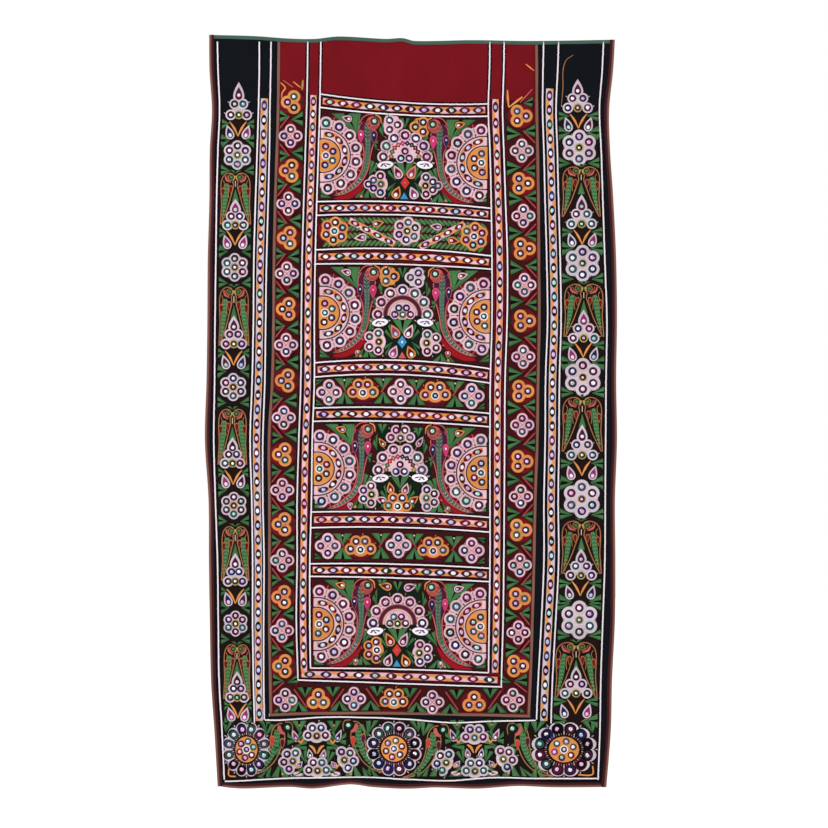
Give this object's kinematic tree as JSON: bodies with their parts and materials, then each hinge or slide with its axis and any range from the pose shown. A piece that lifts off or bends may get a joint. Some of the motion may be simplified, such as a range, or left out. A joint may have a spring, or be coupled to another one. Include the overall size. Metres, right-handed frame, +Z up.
{
  "type": "mirror work wall hanging",
  "caption": "Tall embroidered cloth hanging with a red centre panel, black borders, piped seams and bound edges, covered in chain stitch and small round mirrors, for hanging flat on a wall.",
  "frame": {"origin": "middle of the top edge, at the level where the hanging is held against the wall", "axes": "+Z up along the length, +X to the right seen from the front, the embroidered front faces -Y and the wall is on the +Y side"},
  "size_m": [1.009, 0.0128, 1.8459],
  "materials": {
    "red_cloth": "deep red cotton satin with a low sheen",
    "black_cloth": "matte black cotton",
    "brown_cloth": "faded rosy brown cotton strip",
    "green_cloth": "grey-green cotton strip",
    "stitching": "chain stitch in twisted cotton and silk thread of many colours",
    "mirror_glass": "small hand-cut silvered glass mirrors"
  },
  "bodies": {
    "root": {"centre_panel": "red_cloth", "border_left": "black_cloth", "border_right": "black_cloth", "border_foot": "black_cloth", "piping_left": "brown_cloth", "piping_right": "brown_cloth", "piping_foot": "brown_cloth", "binding_left": "brown_cloth", "binding_right": "brown_cloth", "binding_foot": "brown_cloth", "binding_top": "green_cloth"}
  },
  "joints": []
}
